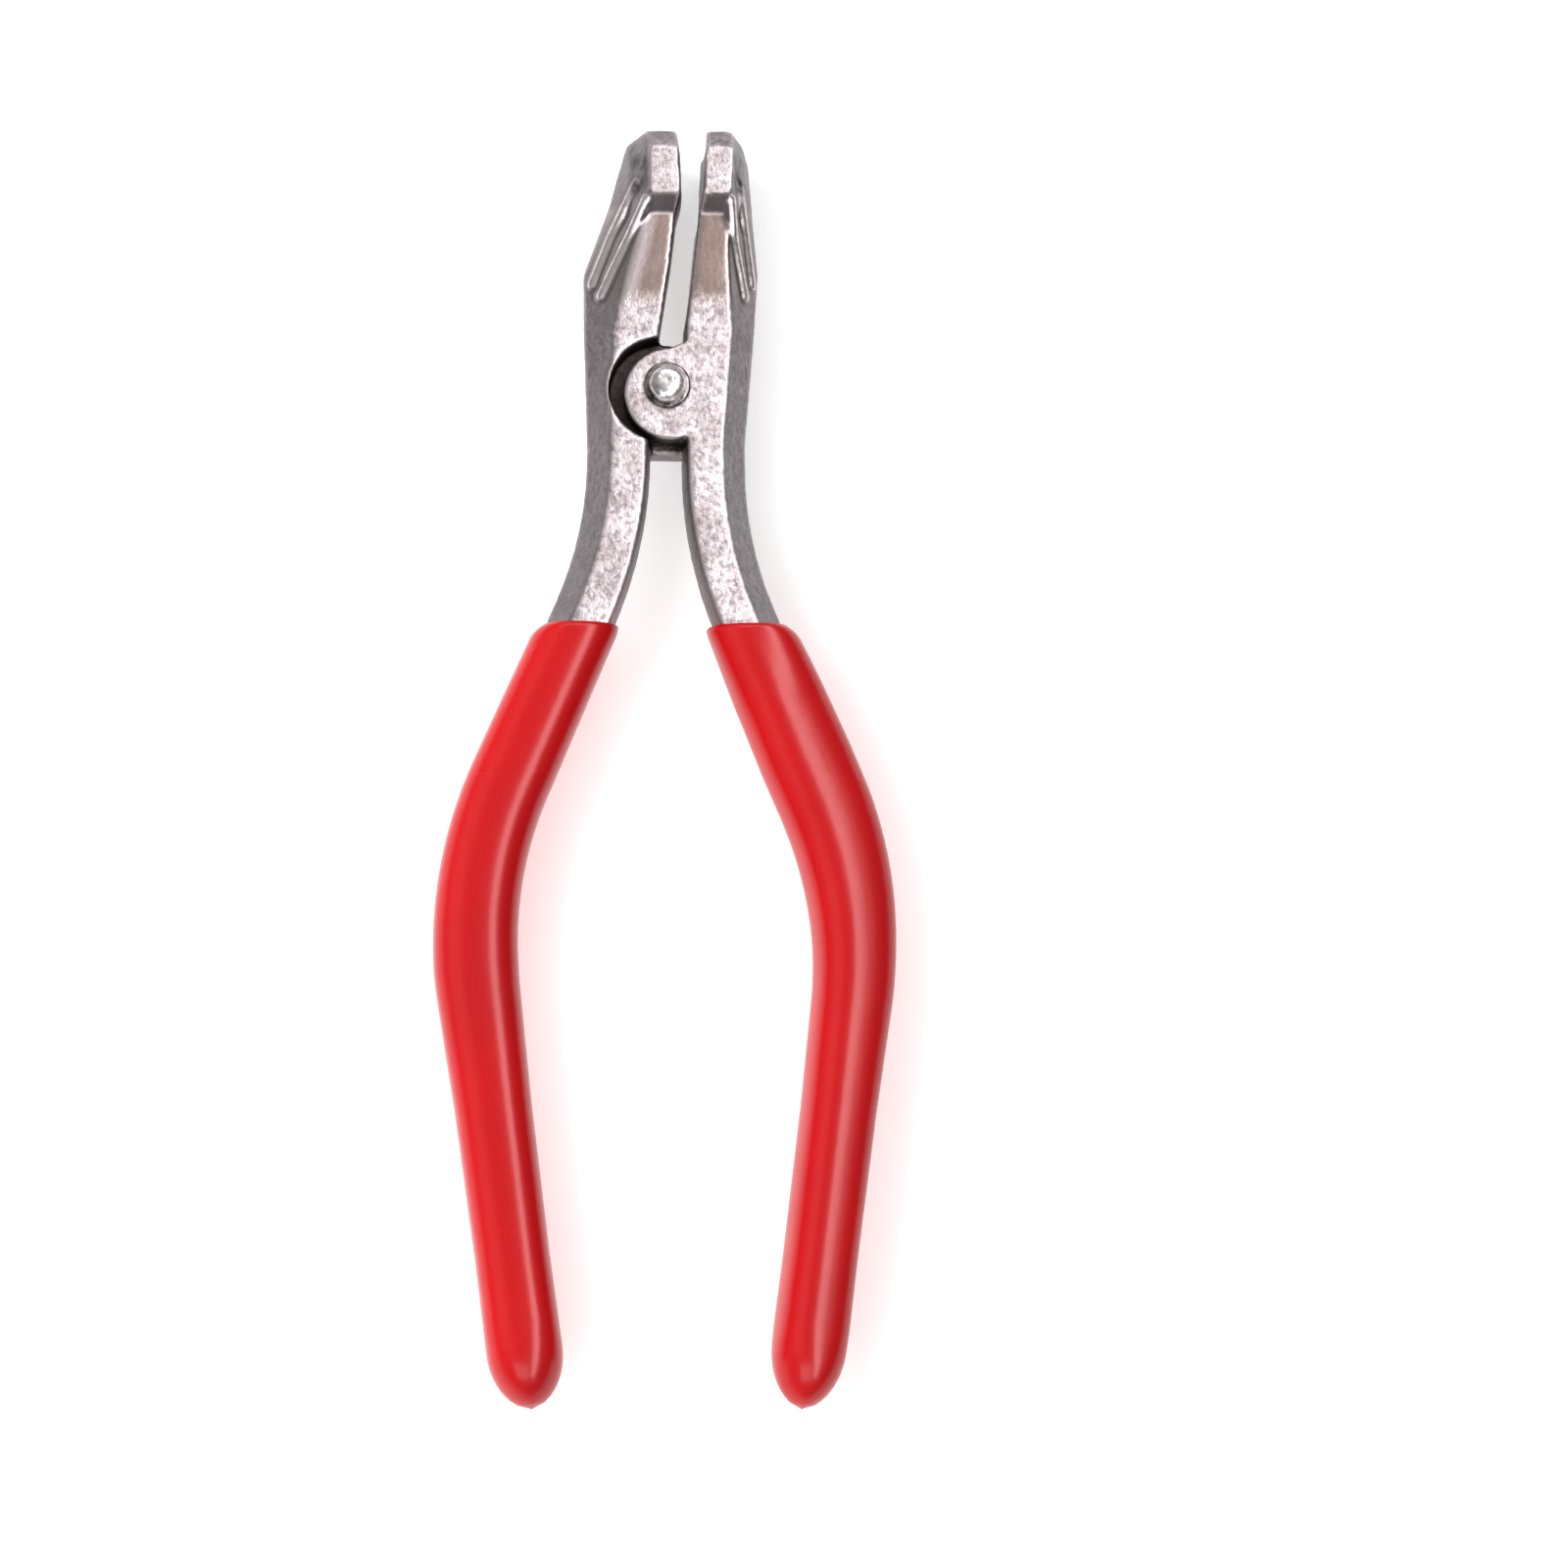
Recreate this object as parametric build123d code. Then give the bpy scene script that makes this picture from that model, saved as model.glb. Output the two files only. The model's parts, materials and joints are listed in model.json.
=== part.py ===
from build123d import *
import math
import os

# Running pliers for stained glass, lying flat. +Y runs to the jaw tips, +X to the right lever,
# +Z up along the rivet. The shapes are drawn about the rivet axis and the middle plane of the
# tool, and moved at the end so that the origin is under the middle of the whole tool.

# Overall
tip_y = 37.5                 # jaw tips, above the rivet axis
overall_length = 187.0
heel_y = tip_y - overall_length
jaw_half_width = 10.8        # the T-shaped jaw heads are twice this wide
head_blank = 11.0            # forged width before the sides of the heads are ground flat
lift = (0, -(tip_y + heel_y) / 2, jaw_half_width)

# Levers
half_thick = 5.0             # half the thickness of the joint and the shanks
edge_half = 1.0              # half the flat left on the outer edge by the forging draft
shank_x = 7.2                # start of each handle line beside the rivet
inner_bulge = 0.8            # how far the rounded inner edge stands out
shank_start_y = -8.0
# Where the straight runs of a handle would meet: the right lever bends a little lower.
bend_corners = {-1: (shank_x, -21.9), 1: (shank_x, -23.3)}
bow_corners = {-1: (29.35, -73.2), 1: (28.9, -74.8)}
handle_end = (19.35, heel_y + 0.18)
bend_radius = 60.0
bow_radius = 60.0
tang_end_inset = 3.4         # the metal stops this far short of the end of the grip

# Jaw stations from the joint to the tip: y, outer edge, outer crease, inner edge, half width.
left_stations = [
    (shank_start_y, 11.6, 8.2, 3.1, half_thick),
    (8.5, 12.1, 7.7, 1.2, half_thick),
    (17.6, 12.2, 5.6, -0.3, 6.7),
    (25.2, 9.4, 3.6, -1.1, 8.1),
    (28.0, 8.4, 2.6, -1.7, head_blank),
    (34.2, 6.7, 2.7, -1.5, head_blank),
    (tip_y, 5.7, 3.2, -1.2, 9.0),
]
right_stations = [
    (shank_start_y, 11.6, 8.2, 3.1, half_thick),
    (8.5, 13.0, 9.5, 2.8, half_thick),
    (17.6, 13.6, 9.0, 3.7, 6.7),
    (25.2, 12.9, 8.9, 4.5, 8.1),
    (28.0, 12.7, 9.2, 5.1, head_blank),
    (34.2, 12.2, 9.6, 5.4, head_blank),
    (tip_y, 11.3, 9.3, 5.5, 9.0),
]
# How far the inner edge stands out at the middle of each station. The left jaw is convex
# across its width and the right jaw is hollow to match.
left_bulges = [inner_bulge, 0.3, 0.3, 0.4, 0.55, 0.55, 0.45]
right_bulges = [inner_bulge, 0.3, -0.3, -0.45, -0.6, -0.6, -0.45]

# Stiffening ribs on the jaw backs, as runs through (y, share). A share is the place between
# the outer edge (0) and the crease (1).
ribs = [
    [(15.8, 0.19), (23.1, 0.34), (30.0, 0.60)],
    [(13.8, 0.42), (21.4, 0.76), (27.0, 0.92)],
]
rib_radius = 0.85
rib_sink = 0.25

# Lap joint
lap_gap = 0.05               # each lap stands back this far from the middle plane
boss_radius = 6.8            # front lap of the right lever
boss_centre = (0.5, -1.1)
recess_radius = 7.75         # pocket for it in the front of the left lever
recess_centre = (-0.8, -0.4)
rear_boss_radius = 7.3       # rear lap of the left lever
rear_recess_radius = 7.9     # pocket for it in the back of the right lever
web_outline = [(-6.0, -9.3), (3.4, -9.3), (5.6, -4.6), (-6.0, 6.0)]
bridge_outline = [(0.0, -6.5), (6.0, -8.5), (6.0, 7.0), (3.4, 7.0), (-1.5, 5.0)]
web_pocket_radius = 10.5     # room for the web's corner as the tool opens
web_pocket_outline = [(-2.0, -12.0), (6.2, -12.0), (6.2, -4.0), (-2.0, -4.0)]

# Rivet
shaft_radius = 2.2
bore_clearance = 0.05
washer_base = half_thick + lap_gap
washer_radius = 3.5
washer_thick = 0.8
head_radius = 2.8
head_height = 2.2
head_flat_radius = 0.8       # hammered flat on the crown of the head
head_rim_share = 0.25        # height of the straight rim of the head, as a share of its height
head_shoulder = (0.76, 0.78)  # shoulder of the dome, as shares of radius and height
rear_head_radius = 3.9
rear_head_height = 1.6
rear_flat_share = 0.6        # the rear head is flat out to this share of its radius
rear_rim_share = 0.4         # and its rim is this share of its height

# Grips: share of the handle line, half width. They are fullest round the bow, and the right
# one is fuller above it.
left_widths = [(0.1, 5.7), (0.22, 5.75), (0.34, 6.0), (0.56, 6.2), (0.7, 5.6), (0.85, 5.4), (1.0, 5.6)]
right_widths = [(0.1, 5.7), (0.2, 6.1), (0.27, 6.7), (0.34, 7.0), (0.40, 6.9), (0.46, 6.6), (0.54, 6.1),
                (0.7, 5.45), (0.85, 5.3), (1.0, 5.5)]
grip_steps = 22              # sections along the straight and bent length of a grip
grip_half_thick = 6.1
grip_corner = 2.9
grip_top_y = -34.9
grip_end_length = 6.5        # length of the rounded-off end
grip_end_steps = 5
grip_end_flat = 0.25         # share of the section left at the blunt point

# A block larger than the tool, for cutting it in two
big = 400.0


def handle_line(side):
    """Middle line of one lever from the joint to the end of its grip."""
    points = [(shank_x, shank_start_y), bend_corners[side], bow_corners[side], handle_end]
    points = [(side * x, y) for x, y in points]
    return FilletPolyline(*points, radius=[bend_radius, bow_radius])


def lever_section(side, station, bulge):
    """Section of a lever: sloping bands outside, flats front and back, curved inner edge."""
    y, outer, crease, inner, half = station
    middle = inner - bulge
    corners = [(inner, half), (crease, half), (outer, edge_half)]
    corners += [(outer, -edge_half), (crease, -half), (inner, -half)]
    points = [Vector(side * x, y, z) for x, z in corners]
    rim = Polyline(*points)
    inner_edge = ThreePointArc(points[-1], Vector(side * middle, y, 0), points[0])
    return make_face([rim, inner_edge])


def jaw_and_joint(side, stations, bulges):
    """The straight upper part of a lever, as ruled spans between its stations."""
    faces = [lever_section(side, station, bulge) for station, bulge in zip(stations, bulges)]
    body = loft([faces[0], faces[1]], ruled=True)
    for lower, upper in zip(faces[1:], faces[2:]):
        body += loft([lower, upper], ruled=True)
    return body & Box(big, big, 2 * jaw_half_width)


def shank_and_tang(side, first_station):
    """The bent handle bar, carried along the handle line with the joint's own section."""
    section = lever_section(side, first_station, inner_bulge)
    bar = sweep(section, path=handle_line(side))
    stop = Pos(0, heel_y + tang_end_inset - big / 2, 0) * Box(big, big, big)
    return bar - stop


def back_point(side, stations, y, share):
    """Point on the sloping jaw back, between the outer edge and the crease."""
    for lower, upper in zip(stations, stations[1:]):
        if lower[0] <= y <= upper[0]:
            blend = (y - lower[0]) / (upper[0] - lower[0])
            values = [a + (b - a) * blend for a, b in zip(lower, upper)]
    outer, crease, half = values[1], values[2], values[4]
    slope = Vector(side * (crease - outer), 0, half - edge_half)
    inward = Vector(-side * slope.Z, 0, side * slope.X).normalized()
    edge = Vector(side * outer, y, edge_half)
    return edge + slope * share + inward * rib_sink


def jaw_ribs(side, stations):
    """Round-ended ribs on both slopes of one jaw back."""
    pieces = []
    for rib in ribs:
        points = [back_point(side, stations, y, share) for y, share in rib]
        bar = Pos(*points[0]) * Sphere(rib_radius)
        for start, end in zip(points, points[1:]):
            along = end - start
            bar += Plane(origin=start, z_dir=along) * Cylinder(
                rib_radius, along.length, align=(Align.CENTER, Align.CENTER, Align.MIN))
            bar += Pos(*end) * Sphere(rib_radius)
        pieces += [bar, mirror(bar, about=Plane.XY)]
    return pieces


def disc(radius, centre, z_low, z_high):
    """Round slab about an axis parallel to the rivet."""
    blank = Cylinder(radius, z_high - z_low, align=(Align.CENTER, Align.CENTER, Align.MIN))
    return Pos(centre[0], centre[1], z_low) * blank


def slab(outline, z_low, z_high):
    """Straight-sided slab with the given outline."""
    return Pos(0, 0, z_low) * extrude(make_face(Polyline(*outline, close=True)), amount=z_high - z_low)


def left_lever():
    """Left jaw, shank and tang, with the rear half of the lap joint."""
    body = jaw_and_joint(-1, left_stations, left_bulges)
    for rib in jaw_ribs(-1, left_stations):
        body += rib
    body -= disc(recess_radius, recess_centre, -lap_gap, tip_y)
    body += disc(rear_boss_radius, (0, 0), -half_thick, -lap_gap)
    body += slab(web_outline, -half_thick, -lap_gap)
    body -= disc(shaft_radius, (0, 0), -tip_y, tip_y)
    return body + shank_and_tang(-1, left_stations[0])


def right_lever():
    """Right jaw, shank and tang, with the front half of the lap joint."""
    body = jaw_and_joint(1, right_stations, right_bulges)
    for rib in jaw_ribs(1, right_stations):
        body += rib
    bar = shank_and_tang(1, right_stations[0])
    web_room = disc(web_pocket_radius, (0, 0), -tip_y, lap_gap) & slab(
        web_pocket_outline, -tip_y, lap_gap)
    body -= disc(rear_recess_radius, (0, 0), -tip_y, lap_gap)
    body -= web_room
    body += disc(boss_radius, boss_centre, lap_gap, half_thick)
    body += slab(bridge_outline, lap_gap, half_thick)
    body -= disc(shaft_radius + bore_clearance, (0, 0), -tip_y, tip_y)
    return body + (bar - web_room)


def rivet():
    """Headed pin through both laps, with its front end peened over the washer."""
    head_base = washer_base + washer_thick
    profile = [
        (0, -half_thick - rear_head_height),
        (rear_head_radius * rear_flat_share, -half_thick - rear_head_height),
        (rear_head_radius, -half_thick - rear_head_height * rear_rim_share),
        (rear_head_radius, -half_thick),
        (shaft_radius, -half_thick),
        (shaft_radius, head_base),
        (head_radius, head_base),
        (head_radius, head_base + head_height * head_rim_share),
    ]
    side_line = Polyline(*[(x, 0, z) for x, z in profile])
    top = (head_flat_radius, 0, head_base + head_height)
    shoulder = (head_radius * head_shoulder[0], 0, head_base + head_height * head_shoulder[1])
    dome = ThreePointArc(side_line @ 1, shoulder, top)
    crown = Polyline(top, (0, 0, head_base + head_height), side_line @ 0)
    return revolve(make_face([side_line, dome, crown]), axis=Axis.Z)


def rivet_washer():
    ring = disc(washer_radius, (0, 0), washer_base, washer_base + washer_thick)
    return ring - disc(shaft_radius, (0, 0), 0, big)


def grip(side, lever, widths):
    """Dipped sleeve around one tang, with a level top edge and a blunt rounded end."""
    line = handle_line(side)
    first = widths[0][0]
    end_share = grip_end_length / line.length
    faces = []
    for step in range(grip_steps):
        share = first + (1 - end_share - first) * step / grip_steps
        faces.append(grip_section(line, widths, share, 1.0))
    for step in range(grip_end_steps + 1):
        turn = step / grip_end_steps
        scale = max(grip_end_flat, math.sqrt(1 - turn**2))
        faces.append(grip_section(line, widths, 1 - end_share * (1 - turn), scale))
    sleeve = loft(faces)
    sleeve -= Pos(0, grip_top_y + big / 2, 0) * Box(big, big, big)
    return sleeve - lever


def grip_section(line, widths, share, scale):
    """Rounded rectangle square to the handle line, as wide as the grip is there."""
    for lower, upper in zip(widths, widths[1:]):
        if lower[0] <= share <= upper[0]:
            blend = (share - lower[0]) / (upper[0] - lower[0])
            half_width = lower[1] + (upper[1] - lower[1]) * blend
    place = Plane(origin=line @ share, x_dir=(0, 0, 1), z_dir=line % share)
    outline = RectangleRounded(
        2 * grip_half_thick * scale, 2 * half_width * scale, grip_corner * scale)
    return place * outline


def build_all():
    left = left_lever()
    right = right_lever()
    return {
        "left_lever": left,
        "right_lever": right,
        "rivet": rivet(),
        "rivet_washer": rivet_washer(),
        "left_grip": grip(-1, left, left_widths),
        "right_grip": grip(1, right, right_widths),
    }


os.makedirs("parts", exist_ok=True)
for name, solid in build_all().items():
    export_step(Pos(*lift) * solid, f"parts/{name}.step")
    box = solid.bounding_box()
    print(name, solid.is_valid, len(solid.solids()), [round(v, 2) for v in (*box.min, *box.max)])
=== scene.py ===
# %% [markdown]
# # Running pliers
# A hand tool that runs a score line in sheet glass: two nickel-plated castings, one rivet with a
# washer, and two handles dipped in red vinyl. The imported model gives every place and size. This
# lesson gives the castings their softened edges and blasted skin, and makes the rivet, the
# washer and the two sleeves as new surfaces.

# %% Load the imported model
import json
import bmesh
import bpy
import numpy as np
from mathutils import Matrix, Vector


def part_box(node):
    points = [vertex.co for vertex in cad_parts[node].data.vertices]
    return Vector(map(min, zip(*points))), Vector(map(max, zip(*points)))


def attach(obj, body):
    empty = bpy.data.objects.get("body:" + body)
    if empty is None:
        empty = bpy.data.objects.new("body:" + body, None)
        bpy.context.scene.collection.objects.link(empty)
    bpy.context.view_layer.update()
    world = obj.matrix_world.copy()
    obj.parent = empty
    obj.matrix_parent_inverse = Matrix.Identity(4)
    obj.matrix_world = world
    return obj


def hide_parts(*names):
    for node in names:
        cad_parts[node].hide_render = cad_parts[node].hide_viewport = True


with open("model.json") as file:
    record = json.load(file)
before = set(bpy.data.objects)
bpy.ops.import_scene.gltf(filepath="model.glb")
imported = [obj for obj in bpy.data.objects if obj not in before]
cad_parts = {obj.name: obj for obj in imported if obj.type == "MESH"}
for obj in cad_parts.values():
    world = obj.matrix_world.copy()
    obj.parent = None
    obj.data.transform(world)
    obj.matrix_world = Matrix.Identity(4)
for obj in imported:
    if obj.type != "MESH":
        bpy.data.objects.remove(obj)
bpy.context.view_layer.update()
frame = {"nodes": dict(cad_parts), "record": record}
MM = 0.001
pivot = np.array(frame["record"]["behaviour"]["joints"][0]["pos_m"])

# %% [markdown]
# ## Camera
# The tool is seen from high above, a little from the handle end and a little from the left. It
# could be a top view with no slant at all, but then the side walls of the rivet head, the round
# boss and the jaw heads would vanish. A long lens keeps the handles from spreading apart.

# %% Camera
LOOK_SLANT = np.radians(9.5)      # towards the handle end
LOOK_LEFT = np.radians(3.5)
LOOK_ROLL = np.radians(-0.24)
LOOK_DISTANCE = 0.9
VIEW_WIDTH = 0.2289              # metres across the frame at the middle of the tool
TARGET = Vector((0.0172, -0.0023, pivot[2]))
SENSOR = 36.0


def facing_away(place, back, roll=0.0):
    """Pose at place that looks away from back, with its top turned to +Y as far as it can be."""
    back = back.normalized()
    up = Vector((0, 1, 0))
    up = (up - up.dot(back) * back).normalized()
    up = Matrix.Rotation(roll, 3, back) @ up
    pose = Matrix((up.cross(back), up, back)).transposed().to_4x4()
    pose.translation = place
    return pose


camera_data = bpy.data.cameras.new("camera")
camera_data.sensor_width = SENSOR
camera_data.lens = SENSOR * LOOK_DISTANCE / VIEW_WIDTH
camera_data.clip_start = 0.01
camera = bpy.data.objects.new("camera", camera_data)
bpy.context.collection.objects.link(camera)
towards_camera = Vector((-np.tan(LOOK_LEFT), -np.tan(LOOK_SLANT), 1)).normalized()
camera.matrix_world = facing_away(TARGET + towards_camera * LOOK_DISTANCE, towards_camera, LOOK_ROLL)
bpy.context.scene.camera = camera
bpy.context.scene.view_settings.view_transform = "Standard"
print("lens", round(camera_data.lens, 1), "mm")

# %% [markdown]
# ## Writing shader maths
# A shader is a graph of nodes, which soon gets hard to read when it is wired socket by socket.
# Two small classes make it read like arithmetic: Wire is one output that can be added and
# multiplied, and Shader adds any other node from its type, its settings and its inputs.


# %% Shader helpers
class Wire:
    """One output of a shader node, on which sums and products can be written."""

    def __init__(self, shader, socket):
        self.shader = shader
        self.socket = socket

    def maths(self, operation, first, second):
        return self.shader.node("Math", {"operation": operation}, {0: first, 1: second})

    def __add__(self, other):
        return self.maths("ADD", self, other)

    def __sub__(self, other):
        return self.maths("SUBTRACT", self, other)

    def __rsub__(self, other):
        return self.maths("SUBTRACT", other, self)

    def __mul__(self, other):
        return self.maths("MULTIPLY", self, other)

    __radd__ = __add__
    __rmul__ = __mul__


class Shader:
    """The node graph of a new material or room, and one method that adds any node to it."""

    def __init__(self, owner, last="Principled BSDF"):
        self.owner = owner
        owner.use_nodes = True
        self.tree = owner.node_tree
        self.surface = self.tree.nodes[last]

    def fill(self, node, inputs):
        for key, value in inputs.items():
            if isinstance(value, Wire):
                self.tree.links.new(value.socket, node.inputs[key])
            else:
                node.inputs[key].default_value = value

    def node(self, kind, settings, inputs, output=0):
        node = self.tree.nodes.new("ShaderNode" + kind)
        for key, value in settings.items():
            if key == "stops":
                set_stops(node.color_ramp, value)
            else:
                setattr(node, key, value)
        self.fill(node, inputs)
        return Wire(self, node.outputs[output])

    def finish(self, **inputs):
        """Sets the surface's own sockets: spaces in their names are written as underscores."""
        self.fill(self.surface, {key.replace("_", " "): value for key, value in inputs.items()})
        print("finish", self.owner.name, len(self.tree.nodes), "nodes")
        return self.owner

    def noise(self, scale, detail=2.0, roughness=0.5, stretch=(1, 1, 1)):
        """Noise from 0 to 1 with features about 1 / scale metres apart."""
        place = self.node("TexCoord", {}, {}, "Object")
        where = self.node("Mapping", {}, {"Vector": place, "Scale": stretch})
        inputs = {"Vector": where, "Scale": scale, "Detail": detail, "Roughness": roughness}
        return self.node("TexNoise", {}, inputs, "Fac")

    def ramp(self, value, *stops):
        """Value carried through (position, grey) stops."""
        return self.node("ValToRGB", {"stops": stops}, {"Fac": value})

    def mix(self, share, first, second):
        """Colour from first to second."""
        inputs = {"Factor": share, 6: first, 7: second}
        return self.node("Mix", {"data_type": "RGBA"}, inputs, 2)

    def attribute(self, name):
        """A value that was stored on the mesh's points."""
        return self.node("Attribute", {"attribute_name": name}, {}, "Fac")

    def bump(self, height, strength, distance, under=None):
        """Normal tilted by the slope of height, over another normal where one is given."""
        inputs = {"Height": height, "Strength": strength, "Distance": distance}
        if under is not None:
            inputs["Normal"] = under
        return self.node("Bump", {}, inputs)


def set_stops(ramp, stops):
    """The ramp's own two stops take the first two values, and the rest are added."""
    while len(ramp.elements) < len(stops):
        ramp.elements.new(0.5)
    for element, (position, grey) in zip(ramp.elements, stops):
        element.position = position
        element.color = (grey, grey, grey, 1)


# %% [markdown]
# ## Nickel plate
# The levers are cast, blasted with shot, ground bright on the jaws and then nickel plated. The
# plating is thin, so the blasted skin shows through it as a fine pitted grain, while the jaws
# stay smooth. The edges are painted bright, partly as rubbed wear and partly as painted highlight,
# and painted shade darkens the hollows, steep sides, ground flares, heads' sides and the joint.
# One plain metal with a single noise would look like new sheet, so the colour is built in layers
# instead, and values stored on the mesh say where each layer lies: one is above a half on edges
# and below it in hollows, one marks the ground jaws and one a lighter band on a flare, one the
# steep sides, one the heads' shaded sides, and one the deep joint.

# %% Nickel plate
BLASTED_NICKEL = (0.42, 0.36, 0.375, 1)
BRIGHT_NICKEL = (0.68, 0.61, 0.63, 1)
# Painted shade for steep sides and hollows
SHADE_NICKEL = (0.190, 0.170, 0.178, 1)
PITTED_NICKEL = (0.17, 0.14, 0.145, 1)
# Painted shade for the jaws' ground flares, and a lighter painted tone along one flare's side
FLARE_SHADE_NICKEL = (0.37, 0.275, 0.245, 1)
FLARE_LIGHT_NICKEL = (0.66, 0.56, 0.56, 1)
# Painted shade for the heads' shaded sides
HEAD_SHADE = (0.045, 0.040, 0.040, 1)
# Painted shade deep in the lap joint
JOINT_SHADE = (0.030, 0.020, 0.017, 1)
COVER = 0.93                      # how far the flares' and the joint's painted shade hide what lies under them


def nickel_colour(shader, ground, grain, blotch):
    """Colour in layers, each mixed over the last one by its own mask."""
    relief = shader.attribute("relief")
    base = shader.mix(shader.ramp(blotch, (0.32, 0), (0.68, 1)), BLASTED_NICKEL, BRIGHT_NICKEL)
    base = shader.mix(shader.ramp(grain, (0.36, 0.65), (0.55, 0)), base, PITTED_NICKEL)
    # The ground flares are painted in shade, lighter along the left jaw's outer side
    flare_shading = shader.mix(shader.attribute("band"), FLARE_SHADE_NICKEL, FLARE_LIGHT_NICKEL)
    base = shader.mix(ground * COVER, base, flare_shading)
    # Steep sides are painted in shade
    base = shader.mix(shader.attribute("dull") * (0.95 - 0.25 * grain), base, SHADE_NICKEL)
    # Hollows are painted in shade
    base = shader.mix(shader.ramp(relief, (0.30, 0.85), (0.48, 0)), base, SHADE_NICKEL)
    # Edges are painted bright, partly rubbed wear and partly painted highlight
    broken = shader.ramp(grain, (0.40, 1.0), (0.62, 0.55))
    base = shader.mix(shader.ramp(relief, (0.58, 0), (0.80, 0.8)) * broken, base, BRIGHT_NICKEL)
    # The heads' shaded sides are painted dark as shade
    patches = shader.ramp(shader.noise(420, 3), (0.38, 1.0), (0.62, 0.35))
    base = shader.mix(shader.attribute("flank") * patches, base, HEAD_SHADE)
    # The lap joint's pocket and web are painted dark as shade
    return shader.mix(shader.attribute("hollow") * COVER, base, JOINT_SHADE)


def nickel_skin(shader, ground, grain):
    """Pits where the metal was blasted, and long faint scratches where it was ground."""
    pits = shader.noise(2600, 2, 0.7)
    skin = shader.bump((grain * 0.7 + pits * 0.3) * (1 - 0.75 * ground), 0.8, 0.00022)
    scratches = shader.noise(1800, 2, 0.5, stretch=(1, 0.05, 1))
    return shader.bump(scratches * ground, 0.25, 0.00003, skin)


def nickel_plate():
    shader = Shader(bpy.data.materials.new("nickel_plate"))
    ground = shader.attribute("ground")
    blotch = shader.noise(300, 4)
    grain = shader.noise(1250, 3, 0.6)
    blasted = 0.40 + 0.16 * grain
    polished = 0.25 + 0.12 * blotch
    return shader.finish(
        Base_Color=nickel_colour(shader, ground, grain, blotch), Metallic=1.0,
        Roughness=blasted * (1 - ground) + polished * ground,
        Normal=nickel_skin(shader, ground, grain))


nickel = nickel_plate()

# %% [markdown]
# ## Surfaces as arrays
# Every new surface below is a grid of points worked out with numpy, one row round the section
# for each place along it. It could be pushed about by hand or built from primitives, but then a
# change of size would mean doing it again. One function turns such a grid into a closed mesh.


# %% Mesh helpers
HASH = np.array([73856093, 19349663, 83492791])    # large primes that scatter lattice corners


def grid_faces(rows, columns):
    """Quads between neighbouring rows of a grid that closes round its columns."""
    first = np.arange(rows * columns).reshape(rows, columns)[:-1]
    beside = np.roll(first, -1, axis=1)
    return np.stack([first, beside, beside + columns, first + columns], axis=-1).reshape(-1, 4)


def mesh_from(name, points, faces):
    """New object at the origin from points (n, 3) in metres and faces, with faces outwards."""
    mesh = bpy.data.meshes.new(name)
    mesh.from_pydata(points.tolist(), [], faces)
    work = bmesh.new()
    work.from_mesh(mesh)
    bmesh.ops.remove_doubles(work, verts=work.verts, dist=1e-7)
    bmesh.ops.recalc_face_normals(work, faces=work.faces)
    work.to_mesh(mesh)
    work.free()
    mesh.shade_smooth()
    piece = bpy.data.objects.new(name, mesh)
    bpy.context.collection.objects.link(piece)
    print(name, len(mesh.vertices), "points")
    return piece


def closed_grid(name, grid):
    """Grid (rows, columns, 3) closed by one point at the middle of each end row."""
    rows, columns = grid.shape[:2]
    ends = np.stack([grid[0].mean(axis=0), grid[-1].mean(axis=0)])
    points = np.concatenate([grid.reshape(-1, 3), ends])
    ring = np.arange(columns)
    ahead = np.roll(ring, -1)
    start, finish = np.full(columns, rows * columns), np.full(columns, rows * columns + 1)
    last = (rows - 1) * columns
    faces = grid_faces(rows, columns).tolist()
    faces += np.stack([start, ahead, ring], axis=1).tolist()
    faces += np.stack([finish, last + ring, last + ahead], axis=1).tolist()
    return mesh_from(name, points, faces)


def lattice_noise(points, spacing, seed):
    """Smooth noise from -1 to 1: random values on a cubic lattice, blended between corners.

    Between two corners the blend is 3 t^2 - 2 t^3, where t is the share of the way across.
    """
    table = np.random.default_rng(seed).uniform(-1, 1, 4096)
    scaled = points / spacing
    cell = np.floor(scaled).astype(np.int64)
    part = scaled - cell
    part = part * part * (3 - 2 * part)
    total = np.zeros(len(points))
    for corner in np.ndindex(2, 2, 2):
        corner = np.array(corner)
        weight = np.prod(np.where(corner == 1, part, 1 - part), axis=1)
        total += table[(cell + corner) @ HASH % len(table)] * weight
    return total


def ramp_between(values, start, finish):
    """0 at start and beyond it, 1 at finish, straight between them; finish may be the lower one."""
    return np.clip((values - start) / (finish - start), 0, 1)


# %% [markdown]
# ## The two levers
# Each lever is one casting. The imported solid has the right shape, but its edges are knife sharp,
# which no casting has. Its copy is turned into an even net of small squares, and each point is
# moved towards the middle of its neighbours a few times, which rounds every edge by about half a
# millimetre. Bevelling the sharp edges one by one would also work, but it fails where three
# surfaces meet at shallow angles.

# %% Even net
NET_SIZE = 0.27 * MM
TANG_HIDDEN_Y = pivot[1] - 40 * MM     # the sleeve covers the steel from here on


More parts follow.
